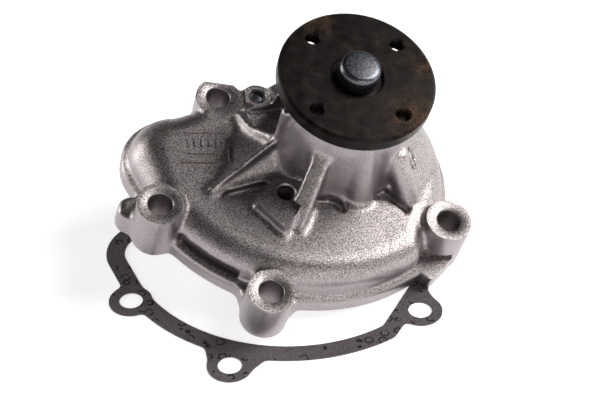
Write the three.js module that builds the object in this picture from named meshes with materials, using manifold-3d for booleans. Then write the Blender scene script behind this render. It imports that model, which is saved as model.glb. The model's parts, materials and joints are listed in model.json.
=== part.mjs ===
// Automotive water pump: cast scroll housing with an integral ball-and-roller shaft bearing, pulley hub
// flange, face seal and impeller, leaning on the floor beside its own paper gasket.
// Millimetres, +Z up, floor at z = 0, origin under the middle of the whole set.
//
// The pump is drawn in its own frame: the shaft axis is +Z, and z = 0 is the machined mounting face.
import * as THREE from 'three';
import { ConvexGeometry } from 'three/addons/geometries/ConvexGeometry.js';
import { mergeVertices } from 'three/addons/utils/BufferGeometryUtils.js';
import Module from 'manifold-3d';

const wasm = await Module();
wasm.setup();

// ---------------------------------------------------------------- driving dimensions
const GAP = 0.15; // between pieces that touch on the real pump

const LEAN = { angle: 21.33, towards: 30.11, centreHeight: 23.5 }; // how the pump leans on its front edge
const FACE_CENTRE = { x: 10.27, y: -7.45 }; // shaft axis at the mounting face, in the floor plan
const GASKET_LAY = { x: 5.9, y: -29.19, turn: -7.42, thickness: 0.6 }; // the loose gasket on the floor

// the mounting face is a scroll: three arcs whose radius grows round to the outlet lobe
const SCROLL = { x: -11.4, y: 3.9, r: 71.3 };
const LOBE = { x: -61.5, y: -12.5, r: 20.3 };
const CROWN = { x: 2, y: -10, r: 46 };
const FACE_LAND = 7.4; // width of the sealing land
const RIM_THICKNESS = 7;
const ROOF = 20; // top of the scroll
const WALL = 5;
const WALL_INSET = 2.8; // the scroll's wall stands this far inside its rim

const BOLT_HOLE = 4.5;
const COLUMN_R = 8.4; // metal left round each bolt inside the scroll
const GASKET_EYE_R = 8.2; // paper left round each bolt inside the gasket's band
const BOSSES = [
  { x: -47, y: 11.9, top: 20, r: 8.7, flat: true, root: { x: -42, y: -1 } },
  { x: -65.8, y: -42, top: 22.5, r: 8.7 },
  { x: -22.5, y: -71.9, top: 20, r: 8.7 },
  { x: 44.5, y: -33, top: 22.2, r: 8.7 },
  { x: 13, y: 39, top: 20, r: 8.7, root: CROWN },
];

const PLUG = { x: -31.9, y: 13.9, r: 3.1, top: 21.5 }; // closes the drilling from the drain chamber
const TAPPED_PAD = {
  x: -19.3, y: -31.2, r: 6.3, bottom: 8, top: 24.5, hole: 3.4, holeBottom: 12,
  corners: [[-30.6, -36.6], [-18.2, -47]],
};
const DRAIN = { r: 1.5, weepRadius: 2, z: 17.6 }; // drillings that let leaked water out above the seal

const NOSE = { r: 23, top: 49.5, footRadius: 29.5 };
const CARRIER_R = 22; // the boss inside the scroll that carries the seal
const CONE = { // the shoulder that climbs to the nose on the right-hand side
  x: 3, y: -4,
  profile: [
    [0, 0], [50, 0], [44, 6], [41.5, 11], [38, 15.5], [34.5, 20.5], [26.7, 28.7], [18, 36], [0, 38],
  ],
};
const BEARING = { r: 15, bottom: 18.8, top: 49.3, track: 12.1, recess: 12.9, recessDepth: 2.4 };
const SHAFT = { r: 7.959, bottom: -10, top: 67.4, chamfer: 1.1 };
const FLANGE = {
  r: 30, bottom: 54.9, top: 60.9, boltCircle: 22.85, bolt: 2.6, turn: 49.4,
  hub: { r: 13.5, bottom: 50.2 }, recess: { r: 10.2, floor: 9.6, depth: 1.6 },
};
const BALLS = { count: 8, r: 2.6, pitch: 10.05, z: 26.5 };
const ROLLERS = { count: 12, r: 1.95, pitch: 10.05, z: 40.5, length: 9 };
const SEAL_BORE = { r: 18, bottom: 8, top: 16.5 };
const IMPELLER = { r: 26, bottom: -9, disc: 0, discTop: 2.2, vanes: 7, hub: 12 };
const VANE = { x: 19.5, y: -12, r: 16, thickness: 2.8, innerEnd: 11 }; // each vane is an arc about (x, y)
const CAGE = { inner: 9.2, outer: 10.9 };
const SPRING = { turns: 3, r: 14.6, wire: 0.6, bottom: 10, rise: 4.6 };

// ---------------------------------------------------------------- materials
const finish = (color, roughness, metalness) =>
  new THREE.MeshStandardMaterial({ color, roughness, metalness });
const CAST_ALUMINIUM = finish('#a8a19c', 0.5, 0.9);
const BLACK_OXIDE_STEEL = finish('#2b2725', 0.4, 0.8);
const BEARING_STEEL = finish('#8d8f93', 0.25, 1);
const CAST_IRON = finish('#5b5654', 0.6, 0.8);
const STAINLESS = finish('#b9b9b6', 0.3, 1);
const RUBBER = finish('#1c1c1d', 0.8, 0);
const CARBON = finish('#2c2d30', 0.5, 0.1);
const CERAMIC = finish('#e6e0d2', 0.3, 0);
const CAGE_NYLON = finish('#c9b98d', 0.5, 0);
const GASKET_PAPER = finish('#6b6466', 0.9, 0);

// ---------------------------------------------------------------- helpers
const RAD = Math.PI / 180;
const polar = (r, degrees) => [r * Math.cos(degrees * RAD), r * Math.sin(degrees * RAD)];
const around = (count, make) => Array.from({ length: count }, (_, i) => make(i, (360 * i) / count));

/** A closed three.js geometry as a solid. */
function solid(geometry) {
  const bare = geometry.clone();
  bare.deleteAttribute('normal');
  bare.deleteAttribute('uv');
  const merged = mergeVertices(bare, 1e-4);
  const corners = [];
  const index = merged.index.array;
  for (let i = 0; i < index.length; i += 3) {
    const [a, b, c] = [index[i], index[i + 1], index[i + 2]];
    if (a !== b && b !== c && c !== a) corners.push(a, b, c);
  }
  return new wasm.Manifold(
    new wasm.Mesh({
      numProp: 3,
      vertProperties: new Float32Array(merged.attributes.position.array),
      triVerts: new Uint32Array(corners),
    }),
  );
}

/** A solid as a geometry for a mesh. */
function geometryOf(body) {
  const mesh = body.getMesh();
  const geometry = new THREE.BufferGeometry();
  geometry.setAttribute('position', new THREE.BufferAttribute(new Float32Array(mesh.vertProperties), 3));
  geometry.setIndex(new THREE.BufferAttribute(new Uint32Array(mesh.triVerts), 1));
  const flat = geometry.toNonIndexed();
  flat.computeVertexNormals();
  return flat;
}

const join = (bodies) => bodies.reduce((all, body) => all.add(body));
const cut = (body, tools) => tools.reduce((left, tool) => left.subtract(tool), body);

/** Points along an arc, in degrees. */
function arc({ x, y, r }, from, to, step = 7) {
  const count = Math.max(2, Math.round(Math.abs(to - from) / step));
  return Array.from({ length: count + 1 }, (_, i) => {
    const [dx, dy] = polar(r, from + ((to - from) * i) / count);
    return new THREE.Vector2(x + dx, y + dy);
  });
}

/** An outline extruded from one height to another, as a geometry. */
function prism(points, bottom, top) {
  const settings = { depth: top - bottom, bevelEnabled: false };
  return new THREE.ExtrudeGeometry(new THREE.Shape(points), settings).translate(0, 0, bottom);
}
const slab = (points, bottom, top) => solid(prism(points, bottom, top));
const plan = (corners) => corners.map(([x, y]) => new THREE.Vector2(x, y));

/** Closed outlines of [x, y, z] corners with equal counts, skinned upwards and capped. */
function lofted(outlines) {
  const count = outlines[0].length;
  const geometry = new THREE.BufferGeometry();
  geometry.setAttribute('position', new THREE.BufferAttribute(new Float32Array(outlines.flat(2)), 3));
  const index = [];
  for (let k = 0; k < outlines.length - 1; k += 1) {
    for (let i = 0; i < count; i += 1) {
      const [a, b] = [k * count + i, k * count + ((i + 1) % count)];
      index.push(a, b, b + count, a, b + count, a + count);
    }
  }
  for (const [layer, upwards] of [[0, false], [outlines.length - 1, true]]) {
    const plan = outlines[layer].map(([x, y]) => new THREE.Vector2(x, y));
    for (const triangle of THREE.ShapeUtils.triangulateShape(plan, [])) {
      const corners = triangle.map((i) => i + layer * count);
      index.push(...(upwards ? corners : corners.reverse()));
    }
  }
  geometry.setIndex(index);
  return solid(geometry);
}

/** The smallest solid without hollows round some corners. */
const hull = (corners) => solid(new ConvexGeometry(corners.map((corner) => new THREE.Vector3(...corner))));

/** A solid of revolution about an upright axis from [radius, height] pairs that run up its outside. */
function turned(profile, segments = 32, x = 0, y = 0) {
  const points = profile.map(([r, z]) => new THREE.Vector2(r, z));
  return solid(new THREE.LatheGeometry(points, segments).rotateX(Math.PI / 2).translate(x, y, 0));
}

/** A ring of rectangular section. */
const ring = (inner, outer, bottom, top, segments = 32) =>
  turned([[inner, bottom], [outer, bottom], [outer, top], [inner, top], [inner, bottom]], segments);

/** An upright round post or drill. */
function post(x, y, bottom, top, r, topRadius = r, segments = 20) {
  return turned([[0, bottom], [r, bottom], [topRadius, top], [0, top]], segments, x, y);
}

/** An upright web between two plan points, with a height at each end. */
function fin([x0, y0], [x1, y1], bottom, top0, top1, thickness) {
  const length = Math.hypot(x1 - x0, y1 - y0);
  const side = new THREE.Shape([
    new THREE.Vector2(0, bottom),
    new THREE.Vector2(length, bottom),
    new THREE.Vector2(length, top1),
    new THREE.Vector2(0, top0),
  ]);
  const web = new THREE.ExtrudeGeometry(side, { depth: thickness, bevelEnabled: false });
  web.translate(0, 0, -thickness / 2).rotateX(Math.PI / 2);
  web.rotateZ(Math.atan2(y1 - y0, x1 - x0)).translate(x0, y0, 0);
  return solid(web);
}

/** A pie-shaped prism between two bearings, used to limit a turned shape. */
function sector(from, to, bottom, top, reach = 80) {
  return slab([new THREE.Vector2(0, 0), ...arc({ x: 0, y: 0, r: reach }, from, to, 20)], bottom, top);
}

// ---------------------------------------------------------------- scroll and gasket outline
/** The edge of the scroll, moved outwards by grow. */
function scrollOutline(grow = 0) {
  const grown = ({ x, y, r }) => ({ x, y, r: r + grow });
  return [
    ...arc(grown(LOBE), 95, 205),
    ...arc(grown(SCROLL), 210, 312),
    ...arc(grown(CROWN), -20, 140),
  ];
}

/** The scroll's outer skin: an upright wall that rolls over into a flat roof. */
function scrollDome() {
  const sides = [[LOBE, 95, 205, 12], [SCROLL, 210, 312, 8], [CROWN, -20, 88, 12], [CROWN, 95, 140, 2]];
  const outlineAt = (turn) => sides.flatMap(([{ x, y, r }, from, to, shoulder]) => {
    const [inset, lift] = [1 - Math.cos(turn * RAD), Math.sin(turn * RAD)];
    return arc({ x, y, r: r - WALL_INSET - shoulder * inset }, from, to)
      .map((point) => [point.x, point.y, ROOF - shoulder * (1 - lift)]);
  });
  const foot = outlineAt(0).map(([x, y]) => [x, y, 0]);
  return lofted([foot, ...[0, 30, 60, 90].map(outlineAt)]);
}

/** Four-sided web that ties a bolt boss to the scroll, pointing away from the boss's root. */
function bossWeb({ x, y, r, root = SCROLL }, bottom, top) {
  const out = Math.atan2(y - root.y, x - root.x) / RAD;
  const [ux, uy] = polar(1, out);
  const corner = (along, across) =>
    new THREE.Vector2(x + along * ux - across * uy, y + along * uy + across * ux);
  const outline = [corner(0, -r), corner(0, r), corner(-r, 1.5 * r), corner(-r, -1.5 * r)];
  return slab(outline.reverse(), bottom, top);
}

/** The plate that the scroll's rim and the gasket share, with a round tab at each bolt. */
function facePlate(thickness) {
  const tabs = BOSSES.map((boss) => post(boss.x, boss.y, 0, thickness, boss.r, boss.r, 18));
  const webs = BOSSES.map((boss) => bossWeb(boss, 0, thickness));
  return join([slab(scrollOutline(), 0, thickness), ...tabs, ...webs]);
}

// ---------------------------------------------------------------- housing
function housingBody() {
  const bosses = BOSSES.map((boss) => post(boss.x, boss.y, 0, boss.top, boss.r + 0.5, boss.r));
  const cone = turned(CONE.profile, 32, CONE.x, CONE.y);
  const { r, top, footRadius } = NOSE;
  const nose = turned([
    [0, 0], [footRadius, 0], [footRadius, 18.5], [footRadius - 1.7, 24], [r + 2, top - 6], [r, top],
    [0, top],
  ]);
  return join([
    facePlate(RIM_THICKNESS),
    scrollDome(),
    cone.intersect(sector(-36, 95, -1, 60)).intersect(slab(scrollOutline(-WALL_INSET), -1, 60)),
    nose,
    ...bosses,
    ...housingRibs(),
  ]);
}

/** A round column that leans: [x, y, z, radius] at its foot and at its top. */
function leaningPost(foot, top, segments = 16) {
  const ringAt = ([x, y, z, r]) => around(segments, (i, turn) => {
    const [dx, dy] = polar(r, turn);
    return [x + dx, y + dy, z];
  });
  return lofted([ringAt(foot), ringAt(top)]);
}

function housingRibs() {
  const padRound = arc(TAPPED_PAD, -40, 150, 24);
  const padOutline = [...plan(TAPPED_PAD.corners), ...padRound];
  return [
    hull([
      [-17, -16, 28], [-22, -8, 27.5], [-25.5, -12, 27.5], [-45.5, -31, 19.8], [-37.5, 3.5, 20.2],
      [-43, -13, 19], [-17, -16, 12], [-17, -22, 15], [-28, -25.3, 15], [-41, -31, 15], [-37.5, 3.5, 12],
      [-45.5, -31, 12],
    ]), // the slope that the ribs stand on
    fin([-23, -10], [-47.5, -32], 12, 31, 21, 2.4), // long rib across the scroll
    fin([-25, -11.5], [-34.2, -2.8], 12, 30, 23.5, 2.4), // short rib to the left-hand boss
    fin([-34.2, -2.8], [-39.5, 6], 12, 23.5, 21.5, 2.4),
    fin([-15, -7], [-25.4, -11.9], 12, 49, 48, 3.3), // upright rib on the nose
    fin([-7, -19], [-15.4, -44], 12, 45, 19.6, 6.5), // broad rib beside the tapped pad
    leaningPost([10.2, -26.6, 10, 6.6], [6.5, -17.5, 48, 6]), // front flute of the nose
    leaningPost([34.2, -26, 10, 4.4], [19, -13.5, 38, 5]), // spur to the right-hand boss
    slab(padOutline, TAPPED_PAD.bottom, TAPPED_PAD.top),
    post(PLUG.x, PLUG.y, 8, PLUG.top, 6, 5.5), // plugged pad
    post(-75.5, -37, 0, 9, 5.5, 4.5), // small ear by the outlet
    slab(plan([[33, -44], [41, -50.5], [48.5, -42], [42, -34]]), 3, 8), // small flat lug on the rim
  ];
}

/** Hollows in the casting's outside, behind the short rib and at the feet of the nose. */
const RECESS = [[-36.8, 7], [-33, -1.5], [-26, -10], [-22, -5], [-20, 4], [-21.3, 12.2], [-29.7, 8.6]];
function housingPockets() {
  return [
    slab(plan(RECESS), 16.5, 60),
    slab(plan([[-8, -32.5], [-7, -28.6], [-1, -28.2], [3.6, -29.6], [4.4, -33.4], [-1.5, -32]]), 17, 21),
    slab(plan([
      [14.5, -27], [15.5, -23.5], [20, -20.6], [26, -25.5], [29.5, -28], [28, -30.5], [20, -24],
    ]), 17, 21),
  ];
}

function housingCavity() {
  const kept = [
    turned([[0, SEAL_BORE.bottom], [CARRIER_R, SEAL_BORE.bottom], [CARRIER_R, 30], [0, 30]]),
    slab(plan(RECESS), 12, 30),
    ...BOSSES.map(({ x, y }) => post(x, y, -2, ROOF, COLUMN_R)),
    post(TAPPED_PAD.x, TAPPED_PAD.y, 9, ROOF, TAPPED_PAD.r + 0.7),
  ];
  const narrowing = 2.5; // the cavity's wall leans in where the dome rolls over
  const spread = scrollOutline(-FACE_LAND).map(({ x, y }) => [x, y]);
  const drawnIn = scrollOutline(-FACE_LAND - narrowing).map(({ x, y }) => [x, y]);
  const at = (outline, z) => outline.map(([x, y]) => [x, y, z]);
  const ceiling = ROOF - WALL;
  const space = lofted([at(spread, -1), at(spread, ceiling - 2 * narrowing), at(drawnIn, ceiling)]);
  return cut(space, kept);
}

function housing() {
  const bearingBore = post(0, 0, BEARING.bottom - 0.3, NOSE.top + 1, BEARING.r + GAP, BEARING.r + GAP, 48);
  const chamber = post(0, 0, SEAL_BORE.top - 1, BEARING.bottom, 13, 13, 48);
  const sealBore = post(0, 0, 0, SEAL_BORE.top, SEAL_BORE.r, SEAL_BORE.r, 48);
  const bolts = BOSSES.map(({ x, y, top }) => post(x, y, -1, top + 1, BOLT_HOLE));
  const flats = BOSSES.filter(({ flat }) => flat).map(({ x, y }) =>
    solid(new THREE.BoxGeometry(20, 4, 30).translate(x, y + 8.8, RIM_THICKNESS + 15)));
  const { hole, holeBottom } = TAPPED_PAD;
  const tappedHole = post(TAPPED_PAD.x, TAPPED_PAD.y, holeBottom, TAPPED_PAD.top + 1.5, hole, hole, 16);
  const plugBore = post(PLUG.x, PLUG.y, 16.2, PLUG.top + 1, PLUG.r + GAP, PLUG.r + GAP, 16);
  const { r, weepRadius, z } = DRAIN;
  const drain = solid(new THREE.CylinderGeometry(r, r, 30, 12).rotateZ(Math.PI / 2)
    .translate(-20, 0, z).rotateZ(Math.atan(PLUG.y / PLUG.x)));
  const weep = solid(new THREE.CylinderGeometry(weepRadius, weepRadius, 40, 12).translate(0, 30, z));
  return cut(housingBody(), [
    ...housingPockets(), housingCavity(), bearingBore, chamber, sealBore, ...bolts, ...flats, tappedHole,
    plugBore, drain, weep,
  ]);
}

function gasket() {
  const eyes = BOSSES.map(({ x, y }) => post(x, y, -1, 2, GASKET_EYE_R));
  const holes = BOSSES.map(({ x, y }) => post(x, y, -1, 2, BOLT_HOLE, BOLT_HOLE, 16));
  const opening = slab(scrollOutline(-FACE_LAND), -1, 2).subtract(join(eyes));
  return cut(facePlate(GASKET_LAY.thickness), [opening, ...holes]);
}

const borePlug = () => post(PLUG.x, PLUG.y, PLUG.top - 2.4, PLUG.top - 0.1, PLUG.r, PLUG.r, 16);

// ---------------------------------------------------------------- shaft bearing
/** The groove that the balls run in, outside (1) or inside (-1) their pitch circle. */
function ballGroove(side) {
  const grooveRadius = BALLS.r + 0.2;
  return [-1.85, -0.95, 0, 0.95, 1.85].map((dz) =>
    [BALLS.pitch + side * Math.sqrt(grooveRadius ** 2 - dz ** 2), BALLS.z + dz]);
}

function bearingOuterRing() {
  const { r, bottom, top, track, recess, recessDepth } = BEARING;
  const inside = [
    [recess, top], [recess, top - recessDepth], [track, top - recessDepth], ...ballGroove(1).reverse(),
    [track, bottom + recessDepth], [recess, bottom + recessDepth], [recess, bottom],
  ];
  const outside = [[r - 0.6, bottom], [r, bottom + 0.6], [r, top - 0.6], [r - 0.6, top]];
  return turned([...outside, ...inside, outside[0]], 36);
}

/** A lip seal 1.6 mm thick that closes one end of the bearing. */
const bearingSeal = (bottom) => turned([
  [8.5, bottom + 0.9], [9.2, bottom], [12.7, bottom], [12.7, bottom + 1.6], [9.2, bottom + 1.6],
  [8.5, bottom + 0.9],
]);

/** A cage ring of the given half height about z, with its pockets cut. */
const cage = (z, halfHeight, pockets) =>
  cut(ring(CAGE.inner, CAGE.outer, z - halfHeight, z + halfHeight), pockets);

const ballCage = () => cage(BALLS.z, 3.6, around(BALLS.count, (i, turn) => {
  const [x, y] = polar(BALLS.pitch, turn);
  return solid(new THREE.SphereGeometry(BALLS.r + 0.25, 10, 6).translate(x, y, BALLS.z));
}));

const rollerCage = () => cage(ROLLERS.z, 5.8, around(ROLLERS.count, (i, turn) => {
  const pocket = new THREE.BoxGeometry(6, 2 * ROLLERS.r + 0.4, ROLLERS.length + 0.4);
  return solid(pocket.translate(ROLLERS.pitch, 0, ROLLERS.z).rotateZ(turn * RAD));
}));

// ---------------------------------------------------------------- rotor
function shaft() {
  const { r, bottom, top, chamfer } = SHAFT;
  return turned([
    [0, bottom], [r - chamfer, bottom], [r, bottom + chamfer], ...ballGroove(-1), [r, top - chamfer],
    [r - chamfer, top], [0, top],
  ]);
}

function hubFlange() {
  const { r, bottom, top, boltCircle, bolt, turn, hub, recess } = FLANGE;
  const bore = SHAFT.r + GAP;
  const blank = turned([
    [bore, hub.bottom], [hub.r - 0.5, hub.bottom], [hub.r, hub.bottom + 0.5], [hub.r, bottom],
    [r - 0.6, bottom], [r, bottom + 0.6], [r, top - 0.8], [r - 0.8, top],
    [recess.r, top], [recess.floor, top - recess.depth], [bore, top - recess.depth], [bore, hub.bottom],
  ], 48);
  return cut(blank, around(4, (i, angle) => {
    const [x, y] = polar(boltCircle, angle + turn);
    return post(x, y, bottom - 1, top + 1, bolt, bolt, 16);
  }));
}

function impeller() {
  const { r, bottom, disc, discTop, vanes, hub } = IMPELLER;
  const bore = SHAFT.r + GAP;
  const plate = turned([
    [bore, bottom], [hub, bottom], [hub + 1, disc], [r, disc], [r, discTop], [bore, discTop],
    [bore, bottom],
  ]);
  const blades = around(vanes, (i, turn) => {
    const outside = arc(VANE, 150, 50, 17);
    const inside = arc({ ...VANE, r: VANE.r - VANE.thickness }, 50, 150, 17);
    const blade = solid(prism([...outside, ...inside].reverse(), bottom, disc + 0.5).rotateZ(turn * RAD));
    return blade.intersect(ring(VANE.innerEnd, r, bottom - 1, disc + 1));
  });
  return join([plate, ...blades]);
}

// ---------------------------------------------------------------- face seal
const sealCup = () => turned([
  [9.4, 15.4], [16.9, 15.4], [16.9, 7], [19.8, 7], [19.8, 7.7], [17.7, 7.7], [17.7, 16.2], [9.4, 16.2],
  [9.4, 15.4],
]);
const sealBellows = () => turned([
  [9.3, 9.7], [12.8, 9.7], [12.8, 10.6], [11, 11.4], [12.6, 12.5], [11, 13.6], [12.8, 14.3], [12.8, 15.1],
  [9.3, 15.1], [9.3, 9.7],
]);
const sealCarbon = () => turned([
  [9.2, 7.2], [9.9, 6.9], [11.8, 6.9], [12.8, 7.6], [12.8, 9.4], [9.2, 9.4], [9.2, 7.2],
]);
const seatRing = () => turned([[9.2, 3.4], [13.4, 3.4], [13.4, 6.1], [12.9, 6.6], [9.2, 6.6], [9.2, 3.4]]);
const seatBoot = () => turned([
  [8.3, 2.5], [14.5, 2.5], [14.5, 5.6], [13.7, 5.6], [13.7, 3.1], [8.3, 3.1], [8.3, 2.5],
]);
const slinger = () => turned([
  [8.2, 16.9], [10, 16.9], [11.8, 17.4], [11.8, 17.9], [8.2, 18.2], [8.2, 16.9],
]);

/** Helical wire with flat-cut ends. */
function sealSpring() {
  const steps = SPRING.turns * 14;
  const points = Array.from({ length: steps + 1 }, (_, i) => {
    const [x, y] = polar(SPRING.r, (360 * SPRING.turns * i) / steps);
    return new THREE.Vector3(x, y, SPRING.bottom + (SPRING.rise * i) / steps);
  });
  const wire = new THREE.Shape(arc({ x: 0, y: 0, r: SPRING.wire }, 0, 300, 60));
  const path = new THREE.CatmullRomCurve3(points);
  return solid(new THREE.ExtrudeGeometry(wire, { steps, extrudePath: path }));
}

// ---------------------------------------------------------------- assembly
function mesh(name, body, material) {
  const geometry = body.getMesh ? geometryOf(body) : body;
  const piece = new THREE.Mesh(geometry, material);
  piece.name = name;
  return piece;
}

function balls() {
  return around(BALLS.count, (i, turn) => {
    const ball = mesh(`ball_${i + 1}`, new THREE.SphereGeometry(BALLS.r, 10, 7), BEARING_STEEL);
    ball.position.set(...polar(BALLS.pitch, turn), BALLS.z);
    return ball;
  });
}

function rollers() {
  return around(ROLLERS.count, (i, turn) => {
    const bar = new THREE.CylinderGeometry(ROLLERS.r, ROLLERS.r, ROLLERS.length, 10).rotateX(Math.PI / 2);
    const roller = mesh(`roller_${i + 1}`, bar, BEARING_STEEL);
    roller.position.set(...polar(ROLLERS.pitch, turn), ROLLERS.z);
    return roller;
  });
}

function pump() {
  const group = new THREE.Group();
  group.add(
    mesh('housing', housing(), CAST_ALUMINIUM),
    mesh('bore_plug', borePlug(), BEARING_STEEL),
    mesh('bearing_outer_ring', bearingOuterRing(), BEARING_STEEL),
    mesh('bearing_seal_upper', bearingSeal(BEARING.top - 1.9), RUBBER),
    mesh('bearing_seal_lower', bearingSeal(BEARING.bottom + 0.3), RUBBER),
    mesh('ball_cage', ballCage(), CAGE_NYLON),
    mesh('roller_cage', rollerCage(), CAGE_NYLON),
    ...balls(),
    ...rollers(),
    mesh('pump_shaft', shaft(), BEARING_STEEL),
    mesh('hub_flange', hubFlange(), BLACK_OXIDE_STEEL),
    mesh('slinger', slinger(), RUBBER),
    mesh('seal_cup', sealCup(), STAINLESS),
    mesh('seal_bellows', sealBellows(), RUBBER),
    mesh('seal_spring', sealSpring(), STAINLESS),
    mesh('seal_carbon_ring', sealCarbon(), CARBON),
    mesh('seal_seat_ring', seatRing(), CERAMIC),
    mesh('seal_seat_boot', seatBoot(), RUBBER),
    mesh('impeller', impeller(), CAST_IRON),
  );
  const [leanX, leanY] = polar(1, LEAN.towards - 90);
  group.quaternion.setFromAxisAngle(new THREE.Vector3(-leanY, leanX, 0), LEAN.angle * RAD);
  group.position.set(FACE_CENTRE.x, FACE_CENTRE.y, LEAN.centreHeight);
  return group;
}

function looseGasket() {
  const piece = mesh('gasket', gasket(), GASKET_PAPER);
  piece.rotation.z = GASKET_LAY.turn * RAD;
  piece.position.set(GASKET_LAY.x, GASKET_LAY.y, 0);
  return piece;
}

/** The whole set, moved so that its box stands centred on the origin. */
function waterPump() {
  const set = new THREE.Group();
  set.add(pump(), looseGasket());
  const box = new THREE.Box3().setFromObject(set, true);
  const middle = box.getCenter(new THREE.Vector3());
  set.position.set(-middle.x, -middle.y, -box.min.z);
  return set;
}

export default waterPump();
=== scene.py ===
import json
import math
from contextlib import contextmanager

import bpy
from bpy.props import FloatProperty, IntProperty, PointerProperty
from mathutils import Matrix, Vector


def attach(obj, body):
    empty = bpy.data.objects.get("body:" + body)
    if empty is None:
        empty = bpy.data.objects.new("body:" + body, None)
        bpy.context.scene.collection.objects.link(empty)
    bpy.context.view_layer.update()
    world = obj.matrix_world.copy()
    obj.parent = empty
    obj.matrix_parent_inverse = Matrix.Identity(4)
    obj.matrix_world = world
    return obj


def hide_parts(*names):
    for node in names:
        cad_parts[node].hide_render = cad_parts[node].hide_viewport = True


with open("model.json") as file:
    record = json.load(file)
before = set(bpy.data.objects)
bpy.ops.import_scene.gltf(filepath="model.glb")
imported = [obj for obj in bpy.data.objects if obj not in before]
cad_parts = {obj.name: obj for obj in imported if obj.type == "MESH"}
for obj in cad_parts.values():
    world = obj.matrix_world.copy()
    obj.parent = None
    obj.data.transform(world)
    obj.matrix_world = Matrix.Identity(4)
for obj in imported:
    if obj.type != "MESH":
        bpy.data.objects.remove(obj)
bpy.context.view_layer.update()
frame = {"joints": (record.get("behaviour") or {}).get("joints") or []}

bl_info = {
    "name": "Automotive Water Pump",
    "version": (1, 0, 0),
    "blender": (4, 5, 0),
    "location": "View3D > Sidebar > Water Pump",
    "description": "Builds a cast water pump with its shaft, seal, impeller and paper gasket",
    "category": "Add Mesh",
}

# ------------------------------------------------------------------ the pump's own frame
# Pieces are drawn in millimetres with the shaft along +Z and the machined mounting face at z = 0,
# then stood in place by PUMP. The gasket is drawn in the same plan and laid flat by GASKET.
MM = 0.001
SPIN = next(joint for joint in frame["joints"] if joint["name"] == "rotor_spin")
FACE_CENTRE = Vector(SPIN["pos_m"])
LEAN = Vector((0, 0, 1)).rotation_difference(Vector(SPIN["axis"]))
PUMP = Matrix.Translation(FACE_CENTRE) @ LEAN.to_matrix().to_4x4()
GASKET_TURN = math.radians(-7.42)
GASKET_FROM_FACE = Vector((-4.37, -21.74, 0)) * MM
GASKET = (Matrix.Translation(Vector((FACE_CENTRE.x, FACE_CENTRE.y, 0)) + GASKET_FROM_FACE)
          @ Matrix.Rotation(GASKET_TURN, 4, "Z"))

SCROLL = (-11.4, 3.9, 71.3)  # centre and radius of the three arcs of the mounting face
LOBE = (-61.5, -12.5, 20.3)
CROWN = (2.0, -10.0, 46.0)
FACE_LAND = 7.4
RIM = 7.0
ROOF = 20.0
WALL_INSET = 2.8
BOLT_HOLE = 4.5
BOSS_R = 8.7
BOSSES = [(-47, 11.9, 20), (-65.8, -42, 22.5), (-22.5, -71.9, 20), (44.5, -33, 22.2), (13, 39, 20)]
BOSS_ROOTS = [(-42, -1), SCROLL, SCROLL, SCROLL, CROWN]
TAPPED_PAD = (-19.3, -31.2, 24.5)
PLUG = (-31.9, 13.9, 21.5)
NOSE_TOP = 49.5
SEAL_BORE_R, SEAL_BORE_TOP = 18.0, 16.5
WEEP_R, WEEP_Z = 2.0, 17.6
RECESS = [(-36.8, 7), (-33, -1.5), (-26, -10), (-22, -5), (-20, 4), (-21.3, 12.2), (-29.7, 8.6)]

BEARING_R, BEARING_BOTTOM, BEARING_TOP = 15.0, 18.8, 49.3
SHAFT_R = 7.959
PITCH_R = 10.05
BALL_R, BALL_Z, BALL_COUNT = 2.6, 26.5, 8
ROLLER_R, ROLLER_Z, ROLLER_LENGTH, ROLLER_COUNT = 1.95, 40.5, 9.0, 12
BORE_R = SHAFT_R + 0.15
FLANGE_R, FLANGE_BOTTOM, FLANGE_TOP = 30.0, 54.9, 60.9
FLANGE_BOLTS = [(22.85, 49.4 + 90 * i) for i in range(4)]


# ------------------------------------------------------------------ settings
class CastingSettings(bpy.types.PropertyGroup):
    grid: FloatProperty(name="Casting grid", description="Grid that fuses the casting's shapes",
                        default=0.8 * MM, unit="LENGTH")
    rounds: IntProperty(name="Fillet rounds", description="How far corners are blended", default=4)
    mark_height: FloatProperty(name="Mark height", description="Height of the raised casting marks",
                               default=0.7 * MM, unit="LENGTH")


class HubSettings(bpy.types.PropertyGroup):
    segments: IntProperty(name="Segments", description="Corners round each turned piece", default=128)
    chamfer: FloatProperty(name="Rim chamfer", description="Chamfer on the pulley flange",
                           default=1.0 * MM, unit="LENGTH")


class GasketSettings(bpy.types.PropertyGroup):
    thickness: FloatProperty(name="Thickness", description="Thickness of the gasket paper",
                             default=0.6 * MM, unit="LENGTH")
    rounds: IntProperty(name="Outline rounds", description="How far the outline's corners are blended",
                        default=12)


class StageSettings(bpy.types.PropertyGroup):
    lens: FloatProperty(name="Lens", description="Focal length in millimetres", default=96.6)
    distance: FloatProperty(name="Distance", description="From the camera to the aim point",
                            default=0.6664, unit="LENGTH")
    pitch: FloatProperty(name="Pitch", description="How steeply the camera looks down",
                         default=math.radians(38.61), subtype="ANGLE")
    key: FloatProperty(name="Key light", description="Power of the right-hand softbox in watts",
                       default=5.0)


# ------------------------------------------------------------------ modelling helpers
def lone():
    """Object mode, with nothing selected."""
    if bpy.context.object and bpy.context.object.mode != "OBJECT":
        bpy.ops.object.mode_set(mode="OBJECT")
    bpy.ops.object.select_all(action="DESELECT")


def pick(*pieces):
    """Only these are selected, and the first is active."""
    lone()
    for piece in pieces:
        piece.select_set(True)
    bpy.context.view_layer.objects.active = pieces[0]
    return pieces[0]


@contextmanager
def editing(piece, select_all=True):
    """Edit mode on one piece."""
    pick(piece)
    bpy.ops.object.mode_set(mode="EDIT")
    if select_all:
        bpy.ops.mesh.select_all(action="SELECT")
    yield
    bpy.ops.object.mode_set(mode="OBJECT")


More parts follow.
